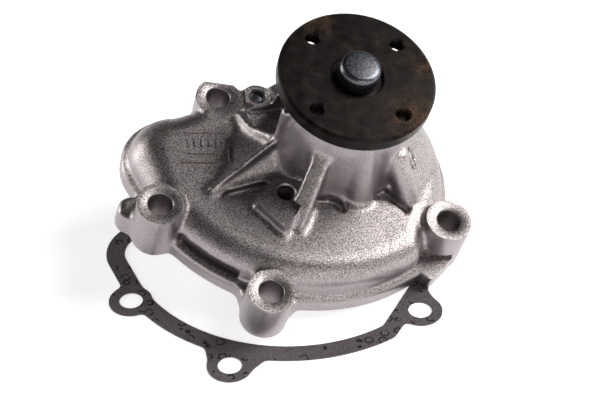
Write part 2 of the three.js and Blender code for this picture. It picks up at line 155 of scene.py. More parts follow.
def outwards(piece):
    """Merges doubled points, drops stray ones and turns every face outwards."""
    with editing(piece):
        bpy.ops.mesh.remove_doubles(threshold=1e-6)
        bpy.ops.mesh.delete_loose()
        bpy.ops.mesh.select_all(action="SELECT")
        bpy.ops.mesh.normals_make_consistent(inside=False)
    return piece


def outline_ring(name, corners, fill):
    """A ring of (x, y, z) corners in millimetres, filled or open."""
    lone()
    bpy.ops.mesh.primitive_circle_add(vertices=len(corners), fill_type=fill)
    piece = bpy.context.object
    piece.name = name
    for vertex, corner in zip(piece.data.vertices, corners):
        vertex.co = Vector(corner) * MM
    return piece


def polar(r, degrees):
    turn = math.radians(degrees)
    return r * math.cos(turn), r * math.sin(turn)


def arc(circle, start, end, step=4.0):
    """Points along an arc of (x, y, radius), in degrees."""
    x, y, r = circle
    count = max(2, round(abs(end - start) / step))
    spokes = [polar(r, start + (end - start) * i / count) for i in range(count + 1)]
    return [(x + dx, y + dy) for dx, dy in spokes]


def level(outline, z):
    """A plan outline at one height."""
    return [(x, y, z) for x, y in outline]


def lofted(name, rings):
    """Closed outlines of (x, y, z) corners with equal counts, skinned upwards and capped."""
    piece = outline_ring(name, rings[0], "NGON")
    with editing(piece):
        pass
    for i, corners in enumerate(rings[1:], 1):
        with editing(piece, select_all=False):
            bpy.ops.mesh.extrude_region_move(TRANSFORM_OT_translate={"value": (0, 0, MM)})
        for vertex, corner in zip(list(piece.data.vertices)[i * len(corners):], corners):
            vertex.co = Vector(corner) * MM
    return outwards(piece)


def prism(name, outline, bottom, top):
    """An outline extruded upwards."""
    return lofted(name, [level(outline, bottom), level(outline, top)])


def turned(name, profile, segments=96, x=0.0, y=0.0):
    """A closed profile of (radius, height) pairs spun about an upright axis."""
    piece = outline_ring(name, [(r, 0, z) for r, z in profile], "NOTHING")
    with editing(piece):
        bpy.ops.mesh.spin(steps=segments, angle=math.tau, center=(0, 0, 0), axis=(0, 0, 1))
    piece.data.transform(Matrix.Translation(Vector((x, y, 0)) * MM))
    return outwards(piece)


def post(name, x, y, bottom, top, r, top_r=None, segments=64):
    """An upright round post, tapered if the top radius differs."""
    lone()
    bpy.ops.mesh.primitive_cone_add(
        vertices=segments, radius1=r * MM, radius2=(r if top_r is None else top_r) * MM,
        depth=(top - bottom) * MM, location=(x * MM, y * MM, (top + bottom) / 2 * MM))
    piece = bpy.context.object
    piece.name = name
    bpy.ops.object.transform_apply(location=True)
    return piece


def leaning_post(name, foot, top, segments=48):
    """A round column between two (x, y, z, radius) ends."""
    ends = [[(x + dx, y + dy, z) for dx, dy in arc((0, 0, r), 0, 360 - 360 / segments, 360 / segments)]
            for x, y, z, r in (foot, top)]
    return lofted(name, ends)


def fin(name, start, end, bottom, start_top, end_top, width, end_width=None):
    """An upright web between two plan points, with a height and a width at each end."""
    along = (Vector(end) - Vector(start)).normalized()
    side = Vector((-along.y, along.x))
    lone()
    bpy.ops.mesh.primitive_cube_add()
    piece = bpy.context.object
    piece.name = name
    for vertex in piece.data.vertices:
        far, left, high = (c > 0 for c in vertex.co)
        half = (end_width or width) / 2 if far else width / 2
        foot = Vector(end if far else start) + side * (half if left else -half)
        top = end_top if far else start_top
        vertex.co = Vector((foot.x, foot.y, top if high else bottom)) * MM
    return outwards(piece)


def hull(name, corners):
    """The smallest solid without hollows round some (x, y, z) corners."""
    piece = outline_ring(name, corners, "NOTHING")
    with editing(piece):
        bpy.ops.mesh.convex_hull()
    return outwards(piece)


def ball(name, x, y, z, r, segments=40):
    lone()
    bpy.ops.mesh.primitive_uv_sphere_add(segments=segments, ring_count=segments // 2, radius=r * MM,
                                         location=(x * MM, y * MM, z * MM))
    piece = bpy.context.object
    piece.name = name
    bpy.ops.object.transform_apply(location=True)
    return piece


def joined(name, pieces):
    """Several meshes as one object."""
    piece = pick(*pieces)
    if len(pieces) > 1:
        bpy.ops.object.join()
    piece.name = name
    return piece


def modified(piece, kind, **settings):
    """Adds a modifier and applies it."""
    pick(piece)
    modifier = piece.modifiers.new(kind.title(), kind)
    for name, value in settings.items():
        setattr(modifier, name, value)
    bpy.ops.object.modifier_apply(modifier=modifier.name)
    return piece


def blended(piece, grid, rounds):
    """Fuses overlapping shapes and blends their corners, as a casting's are."""
    modified(piece, "REMESH", mode="VOXEL", voxel_size=grid)
    return modified(piece, "SMOOTH", factor=0.5, iterations=rounds) if rounds else piece


def combined(piece, operation, tools):
    for tool in tools:
        modified(piece, "BOOLEAN", operation=operation, solver="MANIFOLD", object=tool)
        bpy.data.objects.remove(tool)
    return piece


def cut(piece, *tools):
    return combined(piece, "DIFFERENCE", tools)


def finished(piece, place, body, material, replaces, angle=35):
    """Stands a piece in place, shades it, gives it its finish and hangs it on its body."""
    pick(piece)
    piece.data.transform(place)
    bpy.ops.object.shade_smooth_by_angle(angle=math.radians(angle))
    piece.data.materials.clear()
    piece.data.materials.append(material)
    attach(piece, body)
    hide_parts(*replaces)
    return piece


# ------------------------------------------------------------------ materials
def linear(code):
    """sRGB hex colour as linear RGBA."""
    parts = [int(code[i:i + 2], 16) / 255 for i in (1, 3, 5)]
    return (*(c / 12.92 if c <= 0.04045 else ((c + 0.055) / 1.055) ** 2.4 for c in parts), 1.0)


def add(tree, kind, links=None, **settings):
    """Adds a node with its settings; links gives each input a value or another node's output."""
    made = tree.nodes.new(kind)
    for name, value in settings.items():
        setattr(made, name, value)
    for socket, source in (links or {}).items():
        if isinstance(source, bpy.types.NodeSocket):
            tree.links.new(source, made.inputs[socket])
        else:
            made.inputs[socket].default_value = source
    return made


def new_material(name, **sockets):
    material = bpy.data.materials.new(name)
    material.use_nodes = True
    shader = material.node_tree.nodes["Principled BSDF"]
    for socket, value in sockets.items():
        shader.inputs[socket.replace("_", " ")].default_value = value
    return material, material.node_tree, shader


def noise(tree, place, size_mm, detail=2.0, roughness=0.5):
    """Noise whose features are about size_mm across."""
    return add(tree, "ShaderNodeTexNoise", {"Vector": place, "Scale": 1 / (size_mm * MM), "Detail": detail,
                                            "Roughness": roughness}).outputs["Fac"]


def ramp(tree, factor, *stops):
    """Colour ramp from (position, sRGB hex) stops."""
    made = add(tree, "ShaderNodeValToRGB", {"Fac": factor})
    elements = made.color_ramp.elements
    while len(elements) < len(stops):
        elements.new(0.5)
    for element, (position, code) in zip(elements, stops):
        element.position, element.color = position, linear(code)
    return made.outputs["Color"]


def spread(tree, value, low, high, to_low, to_high):
    return add(tree, "ShaderNodeMapRange", {"Value": value, "From Min": low, "From Max": high,
                                            "To Min": to_low, "To Max": to_high}).outputs["Result"]


def maths(tree, operation, first, second):
    return add(tree, "ShaderNodeMath", {0: first, 1: second}, operation=operation).outputs[0]


def blend(tree, factor, first, second):
    return add(tree, "ShaderNodeMix", {0: factor, 6: first, 7: second}, data_type="RGBA").outputs[2]


def pump_place(tree):
    """Coordinates in the pump's own frame, with the shaft along +Z."""
    place = add(tree, "ShaderNodeTexCoord").outputs["Object"]
    mapping = add(tree, "ShaderNodeMapping", {"Vector": place}, vector_type="TEXTURE")
    mapping.inputs["Location"].default_value = FACE_CENTRE
    mapping.inputs["Rotation"].default_value = LEAN.to_euler()
    return mapping.outputs["Vector"]


def cast_aluminium():
    """Shot-blasted casting: pale grey, with a coarse salt-and-pepper grain on what faces up. The grain is the
    casting's own, but its strong light and dark flecks, kept to faces that look along the shaft, are painted glints
    and painted pit shade; the sides get a plain tone.
    """
    material, tree, shader = new_material("Shot-blasted cast aluminium, painted glints on top", Metallic=1.0)
    coordinates = add(tree, "ShaderNodeTexCoord")
    place = coordinates.outputs["Object"]
    facing = add(tree, "ShaderNodeVectorMath", {0: coordinates.outputs["Normal"],
                                                1: LEAN @ Vector((0, 0, 1))}, operation="DOT_PRODUCT")
    # mask of faces that look along the shaft: it carries the painted glints in the colour and the real grain in the
    # bump
    upward_grain_and_glint = spread(tree, facing.outputs["Value"], 0.3, 0.9, 0.25, 1.0)
    grain = noise(tree, place, 0.5, 1.0)
    cloud = noise(tree, place, 12, 3.0)
    # painted glints and painted pit shade: bright and dark flecks on the real grain, used only where the mask says a
    # face looks up
    painted_glint_grain = ramp(tree, grain, (0.36, "#766e6e"), (0.5, "#aaa2a0"), (0.64, "#d0c8c6"))
    smooth = ramp(tree, cloud, (0.3, "#a0979a"), (0.7, "#b2a9ab"))
    tree.links.new(blend(tree, upward_grain_and_glint, smooth, painted_glint_grain), shader.inputs["Base Color"])
    tree.links.new(spread(tree, cloud, 0.3, 0.7, 0.36, 0.46), shader.inputs["Roughness"])
    height = maths(tree, "MULTIPLY", grain, upward_grain_and_glint)
    bump = add(tree, "ShaderNodeBump", {"Height": height, "Strength": 0.6, "Distance": 0.18 * MM})
    tree.links.new(bump.outputs["Normal"], shader.inputs["Normal"])
    return material


def black_oxide_steel():
    """Blackened turned steel: near black, faint turning rings, thin brown rust near parts of the rim."""
    material, tree, shader = new_material("Black-oxide steel", Metallic=0.9)
    place = pump_place(tree)
    axes = add(tree, "ShaderNodeSeparateXYZ", {"Vector": place}).outputs
    flat = add(tree, "ShaderNodeCombineXYZ", {"X": axes["X"], "Y": axes["Y"]}).outputs["Vector"]
    radius = add(tree, "ShaderNodeVectorMath", {0: flat}, operation="LENGTH").outputs["Value"]
    blotch = noise(tree, place, 5, 4.0, 0.7)
    flecks = noise(tree, place, 0.8, 3.0, 0.7)
    near = None
    for x, y, reach in ((22, -17, 13), (-17, 24, 9), (27, 10, 8)):
        middle = Vector((x, y, FLANGE_TOP)) * MM
        gap = add(tree, "ShaderNodeVectorMath", {0: place, 1: middle}, operation="DISTANCE")
        spot = spread(tree, gap.outputs["Value"], reach * MM, 2 * MM, 0.0, 1.0)
        near = spot if near is None else maths(tree, "MAXIMUM", near, spot)
    patches = spread(tree, maths(tree, "MULTIPLY", blotch, flecks), 0.2, 0.34, 0.0, 1.0)
    rust = maths(tree, "MULTIPLY", near, patches)
    steel = ramp(tree, blotch, (0.3, "#1d1918"), (0.55, "#292422"), (0.8, "#3d3632"))
    brown = ramp(tree, flecks, (0.35, "#2d221b"), (0.6, "#664a34"))
    tree.links.new(blend(tree, rust, steel, brown), shader.inputs["Base Color"])
    rings = maths(tree, "SINE", maths(tree, "MULTIPLY", radius, math.tau / (0.6 * MM)), 0.0)
    worn = spread(tree, blotch, 0.3, 0.7, 0.3, 0.44)
    duller = maths(tree, "MULTIPLY", rust, 0.25)
    tree.links.new(maths(tree, "ADD", worn, duller), shader.inputs["Roughness"])
    height = maths(tree, "ADD", maths(tree, "MULTIPLY", rings, 0.2), flecks)
    bump = add(tree, "ShaderNodeBump", {"Height": height, "Strength": 0.25, "Distance": 0.08 * MM})
    tree.links.new(bump.outputs["Normal"], shader.inputs["Normal"])
    return material


def bearing_steel():
    """Ground steel: blue-grey with a fine, nearly polished grain."""
    material, tree, shader = new_material("Ground bearing steel", Metallic=1.0)
    place = pump_place(tree)
    grain = noise(tree, place, 0.5, 2.0)
    tree.links.new(ramp(tree, grain, (0.35, "#55575b"), (0.65, "#808186")), shader.inputs["Base Color"])
    tree.links.new(spread(tree, grain, 0.3, 0.7, 0.24, 0.36), shader.inputs["Roughness"])
    return material


def speckled(name, dark, light, size_mm, rough, metallic=0.0, bump_mm=0.05, **sockets):
    """A plain finish with a two-tone grain of one size and a matching bump."""
    material, tree, shader = new_material(name, Metallic=metallic, Roughness=rough, **sockets)
    grain = noise(tree, add(tree, "ShaderNodeTexCoord").outputs["Object"], size_mm, 3.0, 0.6)
    tree.links.new(ramp(tree, grain, (0.35, dark), (0.65, light)), shader.inputs["Base Color"])
    bump = add(tree, "ShaderNodeBump", {"Height": grain, "Strength": 0.4, "Distance": bump_mm * MM})
    tree.links.new(bump.outputs["Normal"], shader.inputs["Normal"])
    return material


def gasket_paper():
    """Dark warm-grey fibre paper with short fibres, and black printed rings and dashes that say nothing."""
    material, tree, shader = new_material("Gasket paper", Roughness=0.85)
    place = add(tree, "ShaderNodeTexCoord").outputs["Object"]
    fibres = noise(tree, place, 0.45, 3.0, 0.7)
    paper = ramp(tree, fibres, (0.35, "#494345"), (0.65, "#7c7476"))
    cells = add(tree, "ShaderNodeTexVoronoi", {"Vector": place, "Scale": 1 / (5.2 * MM),
                                               "Randomness": 0.6}).outputs["Distance"]
    ring = add(tree, "ShaderNodeMath", {0: cells, 1: 0.3, 2: 0.06}, operation="COMPARE").outputs[0]
    broken = maths(tree, "GREATER_THAN", noise(tree, place, 2.2, 1.0), 0.42)
    patches = maths(tree, "GREATER_THAN", noise(tree, place, 13, 1.0), 0.47)
    ink = maths(tree, "MULTIPLY", maths(tree, "MULTIPLY", ring, broken), patches)
    tree.links.new(blend(tree, ink, paper, linear("#1d1a1b")), shader.inputs["Base Color"])
    bump = add(tree, "ShaderNodeBump", {"Height": fibres, "Strength": 0.35, "Distance": 0.1 * MM})
    tree.links.new(bump.outputs["Normal"], shader.inputs["Normal"])
    return material


def finish(slot):
    """The material of a slot, made the first time it is asked for."""
    makers = {
        "cast_aluminium": cast_aluminium,
        "black_oxide_steel": black_oxide_steel,
        "bearing_steel": bearing_steel,
        "gasket_paper": gasket_paper,
        # sand-cast iron: dark, coarse and dull
        "cast_iron": lambda: speckled("Sand-cast iron", "#3b3836", "#5f5a57", 1.0, 0.6, 0.8, 0.2),
        # pressed stainless sheet: bright with a faint satin grain
        "stainless_steel": lambda: speckled("Pressed stainless steel", "#a9a9a6", "#c4c4c0", 0.4, 0.28, 1.0,
                                            0.01),
        # moulded rubber: black and matt
        "black_rubber": lambda: speckled("Moulded rubber", "#171718", "#222223", 0.5, 0.8, 0.0, 0.04),
        # lapped carbon: dark grey with a dull sheen
        "carbon": lambda: speckled("Lapped carbon", "#27282b", "#34353a", 0.3, 0.45, 0.1, 0.01),
        # lapped ceramic: cream, close to glossy
        "white_ceramic": lambda: speckled("Lapped ceramic", "#e2dccd", "#ebe6d9", 0.6, 0.22, 0.0, 0.005),
        # glass-filled nylon: straw coloured with a waxy surface
        "cage_nylon": lambda: speckled("Glass-filled nylon", "#c0ae80", "#d2c396", 0.5, 0.5, 0.0, 0.03),
    }
    made = MATERIALS.get(slot)
    if made is None:
        made = MATERIALS[slot] = makers[slot]()
    return made


MATERIALS = {}


# ------------------------------------------------------------------ scroll outline
def scroll_outline(grow=0.0, step=4.0):
    """The edge of the scroll's mounting face, moved outwards by grow."""
    return [point for (x, y, r), start, end in ((LOBE, 95, 205), (SCROLL, 210, 312), (CROWN, -20, 140))
            for point in arc((x, y, r + grow), start, end, step)]


def scroll_dome():
    """The scroll's outer skin: an upright wall that rolls over into a flat roof, most gently at the lobe."""
    sides = ((LOBE, 95, 205, 12.0), (SCROLL, 210, 312, 9.0), (CROWN, -20, 88, 12.0), (CROWN, 95, 140, 2.5))

    def outline_at(degrees):
        inset, lift = 1 - math.cos(math.radians(degrees)), math.sin(math.radians(degrees))
        return [(px, py, ROOF - shoulder * (1 - lift)) for (x, y, r), start, end, shoulder in sides
                for px, py in arc((x, y, r - WALL_INSET - shoulder * inset), start, end)]

    foot = [(x, y, 0) for x, y, z in outline_at(0)]
    return lofted("dome", [foot, *[outline_at(degrees) for degrees in (0, 15, 30, 45, 60, 75, 90)]])


def boss_web(boss, root, bottom, top, size=BOSS_R):
    """Web that ties a bolt boss to the scroll, pointing away from the boss's root."""
    x, y = boss[:2]
    out = Vector((x - root[0], y - root[1])).normalized()
    across = Vector((-out.y, out.x))
    corners = ((-1, -1.5), (0, -1), (0, 1), (-1, 1.5))
    points = [Vector((x, y)) + size * (a * out + c * across) for a, c in corners]
    return prism("web", [tuple(point) for point in points], bottom, top)


# ------------------------------------------------------------------ housing
# the shoulder that climbs to the nose on the right
CONE_PROFILE = [(0, 0), (50, 0), (44, 6), (41.5, 11), (38, 15.5), (34.5, 20.5), (26.7, 28.7), (18, 36),
                (0, 38)]


def housing_forms():
    """The casting's outside as overlapping shapes, drawn 2 mm past the mounting face."""
    low = -2.0
    nose = turned("nose", [(0, low), (29.5, low), (29.5, 18.5), (27.8, 24), (25, 43.5), (23, NOSE_TOP + 1),
                           (0, NOSE_TOP + 1)])
    cone = turned("cone", CONE_PROFILE, x=3, y=-4)
    combined(cone, "INTERSECT", [prism("pie", [(0, 0)] + arc((0, 0, 80), -36, 95), -1, 60),
                                 prism("wall", scroll_outline(-WALL_INSET), -1, 60)])
    forms = [prism("rim", scroll_outline(), low, RIM), scroll_dome(), nose, cone, *rib_forms()]
    for boss, root in zip(BOSSES, BOSS_ROOTS):
        x, y, top = boss
        inward = (Vector(root[:2]) - Vector((x, y))).normalized() * 15
        neck_end = (x + inward.x, y + inward.y)
        forms += [boss_web(boss, root, low, RIM),
                  post("boss", x, y, low, top + 1.6, BOSS_R + 0.4, BOSS_R + 0.3),
                  fin("neck", (x, y), neck_end, low, top - 7, ROOF - 3, 12.0, 16.0)]
    return forms


def rib_forms():
    x, y, top = TAPPED_PAD
    pad = [(-31, -36.8), (-18.3, -47.8), *arc((x, y, 6.8), -40, 150, 15)]
    return [
        hull("rib_wedge", [(-17, -16, 21), (-22, -8, 27), (-25.5, -12, 27.5), (-45.5, -31, 19.8),
                           (-37.5, 3.5, 20.2), (-43, -13, 19), (-17, -16, 12), (-17, -22, 14),
                           (-28, -25.3, 14), (-41, -31, 15),
                           (-37.5, 3.5, 12), (-45.5, -31, 12)]),
        fin("long_rib", (-23, -10), (-48, -32.5), 12, 32.5, 21.8, 2.2, 2.0),
        fin("short_rib", (-25, -11.5), (-34.2, -2.8), 12, 31.5, 24.5, 2.8),
        fin("short_rib_end", (-34.2, -2.8), (-39.5, 6), 12, 24.5, 22, 2.8),
        fin("upright_rib", (-15, -7), (-25.8, -12.1), 12, 50, 49, 3.6),
        fin("broad_rib", (-7, -19), (-15.6, -44.8), 12, 46, 20.2, 6.6, 7.6),
        leaning_post("flute", (10.2, -26.6, 10, 6.6), (6.5, -17.5, 49, 6)),
        leaning_post("spur", (34.2, -26, 10, 4.8), (19, -13.5, 38, 5.4)),
        prism("pad", pad, 8, top + 1.4),
        post("plug_pad", PLUG[0], PLUG[1], 8, PLUG[2] + 0.4, 6.6, 6.1),
        post("ear", -75.5, -37, -2, 9.4, 6.2, 5.4),
        prism("foot", [(32.2, -43.8), (40.8, -52.3), (49.2, -41.5), (40, -34)], -2, 9.2),
    ]


def housing_pockets():
    """Hollows in the outside: behind the short rib, at the feet of the nose and ribs, and along the ledge."""
    groove = arc((SCROLL[0], SCROLL[1], 69.2), 228, 251) + arc((SCROLL[0], SCROLL[1], 66.8), 251, 228)
    return [
        prism("recess", RECESS, 18.8, 60),
        prism("foot_left", [(-8.6, -33.2), (-7, -28.4), (-1, -27.9), (3.6, -29.4), (4.6, -34),
                            (-1.5, -32.4)], 16.8, 21),
        prism("foot_right", [(14.5, -27.5), (15.5, -23.2), (20, -20.2), (26, -25.2), (30, -28), (28.5, -31),
                             (20, -24.6)], 16.8, 21),
        prism("foot_rib", [(-44, -34.6), (-41, -30.6), (-28, -24.8), (-24.5, -24), (-25.5, -27.6),
                           (-33, -31.6)], 16.8, 21),
        prism("groove", groove, 4.4, 12),
    ]


def housing_cavity():
    """The water space, less the bolt columns, the seal's carrier and what backs the pad and the recess."""
    wide, narrow = scroll_outline(-FACE_LAND), scroll_outline(-FACE_LAND - 2.6)
    space = lofted("space", [level(wide, -3), level(wide, 10), level(narrow, 15)])
    blended(space, 1.2 * MM, 3)
    kept = [
        turned("carrier", [(0, 8), (21.5, 8), (22.5, 12), (24, 30), (0, 30)]),
        prism("recess_back", RECESS, 12, 30),
        post("pad_column", TAPPED_PAD[0], TAPPED_PAD[1], 9, 30, 7),
        *[post("column", x, y, -6, 30, 8.4) for x, y, top in BOSSES],
    ]
    return cut(space, *kept)


def housing_machining():
    """The mounting face, boss tops, bolt holes, tapped hole, plug bore, weep and the stepped bearing bore."""
    tools = [prism("face_cut", arc((0, 0, 150), 0, 350, 10), -10, 0),
             prism("nose_facing", arc((0, 0, 33), 0, 355, 5), NOSE_TOP, 60),
             prism("foot_facing", [(30, -44), (41, -56), (52, -43), (47, -40.5), (39, -39.6)], 7.9, 11),
             prism("boss_flat", [(-60, 18.7), (-36, 18.7), (-36, 25), (-60, 25)], 7.5, 40),
             turned("nose_bore", [(0, -4), (SEAL_BORE_R, -4), (SEAL_BORE_R, SEAL_BORE_TOP),
                                  (13, SEAL_BORE_TOP), (13, 18.5), (15.15, 18.5), (15.15, 48.7), (15.9, 49.6),
                                  (15.9, 60), (0, 60)])]
    for x, y, top in BOSSES:
        tools.append(turned("bolt_hole", [(0, -5), (BOLT_HOLE, -5), (BOLT_HOLE, top - 0.9),
                                          (BOLT_HOLE + 0.25, top - 0.3), (BOLT_HOLE + 0.7, top),
                                          (BOSS_R + 1.9, top), (BOSS_R + 1.9, top + 6),
                                          (0, top + 6)], x=x, y=y))
    x, y, top = TAPPED_PAD
    pad = [(-34, -37), (-19.5, -51), *arc((x, y, 7.6), -22, 160, 15)]
    tools.append(prism("pad_facing", pad, top, top + 2.5))
    tools.append(turned("tapped_hole", [(0, 12), (3.4, 12), *thread(3.4, 3.75, 12.5, top - 0.9, 1.25),
                                        (3.4, top - 0.6), (4.0, top), (4.0, top + 1), (0, top + 1)], x=x, y=y))
    x, y, top = PLUG
    tools.append(turned("plug_bore", [(0, 16.2), (3.25, 16.2), (3.25, top - 0.3), (3.6, top), (5.4, top),
                                      (5.4, top + 2), (0, top + 2)], x=x, y=y))
    lone()
    bpy.ops.mesh.primitive_cylinder_add(vertices=32, radius=WEEP_R * MM, depth=40 * MM,
                                        rotation=(math.pi / 2, 0, 0), location=(0, 30 * MM, WEEP_Z * MM))
    tools.append(bpy.context.object)
    bpy.ops.object.transform_apply(location=True, rotation=True)
    return tools


def thread(core, crest, bottom, top, pitch):
    """Zigzag between two radii up a tapped hole."""
    turns = int((top - bottom) / pitch)
    return [point for i in range(turns)
            for point in ((core, bottom + i * pitch), (crest, bottom + (i + 0.5) * pitch))]


def on_skin(piece, x, y):
    """Where an upright line meets the top of a piece."""
    hit, place, normal, index = piece.ray_cast(Vector((x, y, 90)) * MM, Vector((0, 0, -1)))
    if not hit:
        raise ValueError(f"{piece.name} has nothing under ({x}, {y})")
    return place


def raised_marks(casting, height):
    """A plain frame of bars on the roof, and a ring of pips on the shoulder."""
    bars = [((-59.4, -7.2), (-44.2, -4.8)), ((-42.9, -5.6), (-40.6, -18.4)), ((-58.9, -20.8), (-42.2, -18.3)),
            *[((-57.5 + 2.7 * i, -9.2 + 0.4 * i), (-57.1 + 2.7 * i, -13.2 + 0.4 * i)) for i in range(5)],
            ((-57.0, -16.4), (-45.4, -14.7))]
    marks = []
    for start, end in bars:
        low, high = (on_skin(casting, *point).z / MM for point in (start, end))
        top = height / MM
        marks.append(fin("bar", start, end, min(low, high) - 1.2, low + top, high + top, 0.75))
    spots = ((24, -12.5), (32, -12.5), (28, -16.5), (28, -8.5))
    west, east, south, north = (on_skin(casting, x, y) for x, y in spots)
    turn = (east - west).cross(north - south).to_track_quat("Z", "Y")
    place = (west + east + south + north) / 4
    for ring_r, tube in ((3.9, 0.5), (2.1, 0.4)):
        lone()
        bpy.ops.mesh.primitive_torus_add(major_radius=ring_r * MM, minor_radius=tube * MM,
                                         major_segments=48, minor_segments=10, location=place,
                                         rotation=turn.to_euler())
        marks.append(bpy.context.object)
        bpy.ops.object.transform_apply(location=True, rotation=True)
    for i in range(10):
        offset = turn @ (Vector((*polar(3.0, 36 * i), 0)) * MM)
        spot = (place + offset) / MM
        marks.append(ball("pip", spot.x, spot.y, spot.z, 0.36, 12))
    return joined("marks", marks)


def build_housing(settings):
    casting = blended(joined("housing_casting", housing_forms()), 1.0 * MM, settings.rounds)
    cut(casting, *housing_pockets())
    blended(casting, settings.grid, settings.rounds)
    combined(casting, "UNION", [raised_marks(casting, settings.mark_height)])
    return cut(casting, housing_cavity(), *housing_machining())


class PUMP_OT_housing(bpy.types.Operator):
    """Builds the cast housing and the plug that closes its drain drilling"""
    bl_idname = "pump.housing"
    bl_label = "Housing"

    def execute(self, context):
        casting = build_housing(context.scene.pump_casting)
        finished(casting, PUMP, "pump_body", finish("cast_aluminium"), ["housing"], 40)
        x, y, top = PLUG
        plug = turned("drain_plug", [(0, top - 2.4), (2.9, top - 2.4), (3.1, top - 2.2), (3.1, top - 0.3),
                                     (2.9, top - 0.1), (2.4, top - 0.1), (2.2, top - 1.1), (0, top - 0.8)],
                      48, x, y)
        finished(plug, PUMP, "pump_body", finish("bearing_steel"), ["bore_plug"])
        return {"FINISHED"}


# ------------------------------------------------------------------ hub flange and shaft
def groove(side):
    """The ball groove outside (1) or inside (-1) the pitch circle."""
    steps = [-1.85 + 3.7 * i / 10 for i in range(11)]
    return [(PITCH_R + side * math.sqrt((BALL_R + 0.2) ** 2 - dz * dz), BALL_Z + dz) for dz in steps]


def build_flange(settings):
    edge = settings.chamfer / MM
    flange = turned("pulley_flange", [
        (BORE_R, 50.2), (13, 50.2), (13.5, 50.7), (13.5, FLANGE_BOTTOM - 0.8), (14.3, FLANGE_BOTTOM),
        (FLANGE_R - 0.7, FLANGE_BOTTOM), (FLANGE_R, FLANGE_BOTTOM + 0.7), (FLANGE_R, FLANGE_TOP - edge),
        (FLANGE_R - 0.1, FLANGE_TOP - edge + 0.12), (FLANGE_R - edge, FLANGE_TOP - 0.1),
        (FLANGE_R - edge - 0.2, FLANGE_TOP),
        (10.3, FLANGE_TOP), (9.8, FLANGE_TOP - 0.4), (9.6, FLANGE_TOP - 1.6), (BORE_R, FLANGE_TOP - 1.6)],
        settings.segments)
    low, high = FLANGE_BOTTOM - 1, FLANGE_TOP
    for r, turn in FLANGE_BOLTS:
        x, y = polar(r, turn)
        bore = [(0, low), (2.6, low), *thread(2.6, 2.95, low + 1.2, high - 0.8, 1.0), (2.6, high - 0.7),
                (3.2, high), (3.2, high + 1), (0, high + 1)]
        cut(flange, turned("bolt_thread", bore, 40, x, y))
    return flange


class PUMP_OT_hub(bpy.types.Operator):
    """Builds the shaft and the round flange that carries the pulley"""
    bl_idname = "pump.hub"
    bl_label = "Hub and Shaft"

    def execute(self, context):
        settings = context.scene.pump_hub
        flange = build_flange(settings)
        finished(flange, PUMP, "rotor", finish("black_oxide_steel"), ["hub_flange"], 25)
        shoulder = [(SHAFT_R - 2.4 * (1 - math.cos(turn)), 64.7 + 2.6 * math.sin(turn))
                    for turn in (math.radians(15 * i) for i in range(7))]
        shaft = turned("shaft", [(0, -10), (SHAFT_R - 1.1, -10), (SHAFT_R, -8.9), *groove(-1), *shoulder,
                                 (0, 67.3)], settings.segments)
        finished(shaft, PUMP, "rotor", finish("bearing_steel"), ["pump_shaft"], 30)
        return {"FINISHED"}


# ------------------------------------------------------------------ shaft bearing
def build_cage(name, z, half, pockets):
    cage = turned(name, [(9.2, z - half), (10.9, z - half), (10.9, z + half), (9.2, z + half)])
    return cut(cage, *pockets)


class PUMP_OT_bearing(bpy.types.Operator):
    """Builds the bearing: ring, lip seals, cages, balls and rollers"""
    bl_idname = "pump.bearing"
    bl_label = "Bearing"

    def execute(self, context):
        steel, rubber, nylon = finish("bearing_steel"), finish("black_rubber"), finish("cage_nylon")
        low, high = BEARING_BOTTOM, BEARING_TOP
        ring = turned("outer_ring", [
            (BEARING_R - 0.6, low), (BEARING_R, low + 0.6), (BEARING_R, high - 0.6), (BEARING_R - 0.6, high),
            (12.9, high), (12.9, high - 2.4), (12.1, high - 2.4), *reversed(groove(1)), (12.1, low + 2.4),
            (12.9, low + 2.4), (12.9, low)])
        finished(ring, PUMP, "pump_body", steel, ["bearing_outer_ring"], 30)
        for node, z in (("bearing_seal_upper", high - 1.9), ("bearing_seal_lower", low + 0.3)):
            lip = turned(node + "_lip", [
                (8.5, z + 0.9), (9.2, z), (12.5, z), (12.7, z + 0.2), (12.7, z + 1.4), (12.5, z + 1.6),
                (11.6, z + 1.6), (11.2, z + 1.3), (10, z + 1.3), (9.2, z + 1.6)])
            finished(lip, PUMP, "pump_body", rubber, [node])
        spots = [(polar(PITCH_R, 360 * i / BALL_COUNT)) for i in range(BALL_COUNT)]
        pockets = [ball("pocket", x, y, BALL_Z, BALL_R + 0.25) for x, y in spots]
        cage = build_cage("ball_separator", BALL_Z, 3.6, pockets)
        finished(cage, PUMP, "ball_set", nylon, ["ball_cage"])
        for i, (x, y) in enumerate(spots, 1):
            sphere = ball(f"bearing_ball_{i}", x, y, BALL_Z, BALL_R)
            finished(sphere, PUMP, "ball_set", steel, [f"ball_{i}"])
        turns = [360 * i / ROLLER_COUNT for i in range(ROLLER_COUNT)]
        low, high = ROLLER_Z - 4.7, ROLLER_Z + 4.7
        windows = [fin("window", polar(7, turn), polar(13, turn), low, high, high, 4.3) for turn in turns]
        cage = build_cage("roller_separator", ROLLER_Z, 5.8, windows)
        finished(cage, PUMP, "roller_set", nylon, ["roller_cage"])
        end = ROLLER_LENGTH / 2
        for i, turn in enumerate(turns, 1):
            roller = turned(f"bearing_roller_{i}", [
                (0, ROLLER_Z - end), (ROLLER_R - 0.3, ROLLER_Z - end), (ROLLER_R, ROLLER_Z - end + 0.3),
                (ROLLER_R, ROLLER_Z + end - 0.3), (ROLLER_R - 0.3, ROLLER_Z + end), (0, ROLLER_Z + end)], 32,
                *polar(PITCH_R, turn))
            finished(roller, PUMP, "roller_set", steel, [f"roller_{i}"])
        return {"FINISHED"}


